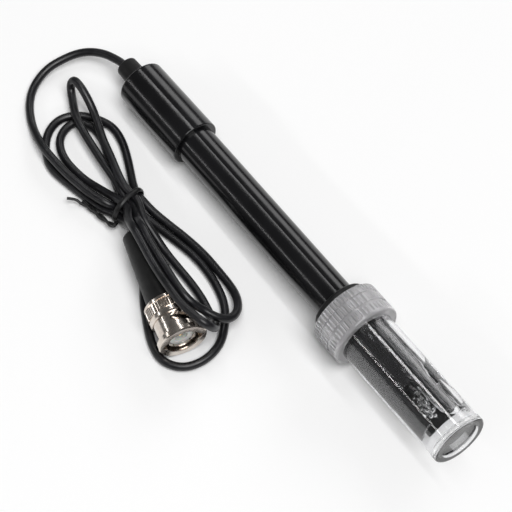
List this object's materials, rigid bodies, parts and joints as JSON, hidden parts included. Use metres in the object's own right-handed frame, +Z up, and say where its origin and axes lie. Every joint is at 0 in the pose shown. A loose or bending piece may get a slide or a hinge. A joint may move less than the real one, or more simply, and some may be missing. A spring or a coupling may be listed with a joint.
{
  "type": "ph electrode",
  "caption": "Combination pH electrode with its slotted bulb guard in a clear soaking bottle, and a tied lead that ends in a bayonet plug.",
  "frame": {"origin": "on the table, under the middle of the electrode and its bottle", "axes": "+X along the electrode towards its bottle, +Z up from the table; the tied lead and plug lie on the -Y side"},
  "size_m": [0.1751, 0.0601, 0.0216],
  "materials": {
    "black_gloss_plastic": "moulded, semi-gloss",
    "black_rubber": "moulded, satin",
    "cable_jacket": "extruded jacket, satin",
    "tie_black": "plastic-covered wire",
    "clear_plastic": "clear moulded plastic",
    "electrode_glass": "blown glass",
    "nickel_plate": "nickel plate, warm",
    "gold_plate": "gold plate",
    "white_insulator": "turned, smooth",
    "silver_wire": "drawn wire",
    "porous_ceramic": "porous, unglazed",
    "potting_resin": "cast",
    "copper_core": "stranded wire, tinned"
  },
  "bodies": {
    "electrode": {"head_cap": "black_gloss_plastic", "cable_gland": "black_rubber", "body_tube": "black_gloss_plastic", "glass_bulb_stem": "electrode_glass", "stem_stopper": "potting_resin", "chamber_plug": "potting_resin", "tip_bush": "potting_resin", "reference_junction": "porous_ceramic", "inner_wire": "silver_wire", "reference_wire": "silver_wire", "plug_boot": "black_rubber", "crimp_ferrule": "nickel_plate", "plug_body": "nickel_plate", "plug_insulator": "white_insulator", "centre_pin": "gold_plate", "core_wire": "copper_core", "plug_gasket": "black_rubber", "spring_washer": "nickel_plate", "cable_lead": "cable_jacket", "cable_hank_upper": "cable_jacket", "cable_hank_lower": "cable_jacket", "cable_loop": "cable_jacket", "cable_over": "cable_jacket", "cable_tail": "cable_jacket", "twist_tie": "tie_black"},
    "seal": {"vial_seal": "black_rubber"},
    "cap": {"vial_cap": "clear_plastic"},
    "vial": {"vial": "clear_plastic"},
    "nut_carrier": {"thrust_washer": "nickel_plate"},
    "nut": {"coupling_nut": "nickel_plate", "retaining_ring": "nickel_plate"}
  },
  "joints": [
    {"name": "bottle_pull_off", "type": "slide", "parent": "electrode", "child": "seal", "axis": [0.9994, 0, 0.0342], "range_m": [0, 0.075]},
    {"name": "cap_turn", "type": "hinge", "parent": "seal", "child": "cap", "pos_m": [0.02654, 0, 0.01062], "axis": [-0.9994, 0, -0.0342], "range_deg": [0, 1080]},
    {"name": "vial_unscrew", "type": "slide", "parent": "seal", "child": "vial", "axis": [0.9994, 0, 0.0342], "range_m": [0, 0.006]},
    {"name": "nut_spring", "type": "slide", "parent": "electrode", "child": "nut_carrier", "axis": [0.9694, -0.2453, 0], "range_m": [0, 0.0008], "stiffness_N_per_m": 1500, "deforming": ["spring_washer"]},
    {"name": "nut_turn", "type": "hinge", "parent": "nut_carrier", "child": "nut", "pos_m": [-0.0064, -0.03726, 0.0072], "axis": [0.9694, -0.2453, 0], "continuous": true}
  ],
  "couplings": [
    {"joint": "vial_unscrew", "follows": "cap_turn", "m_per_rad": 0.000318}
  ]
}
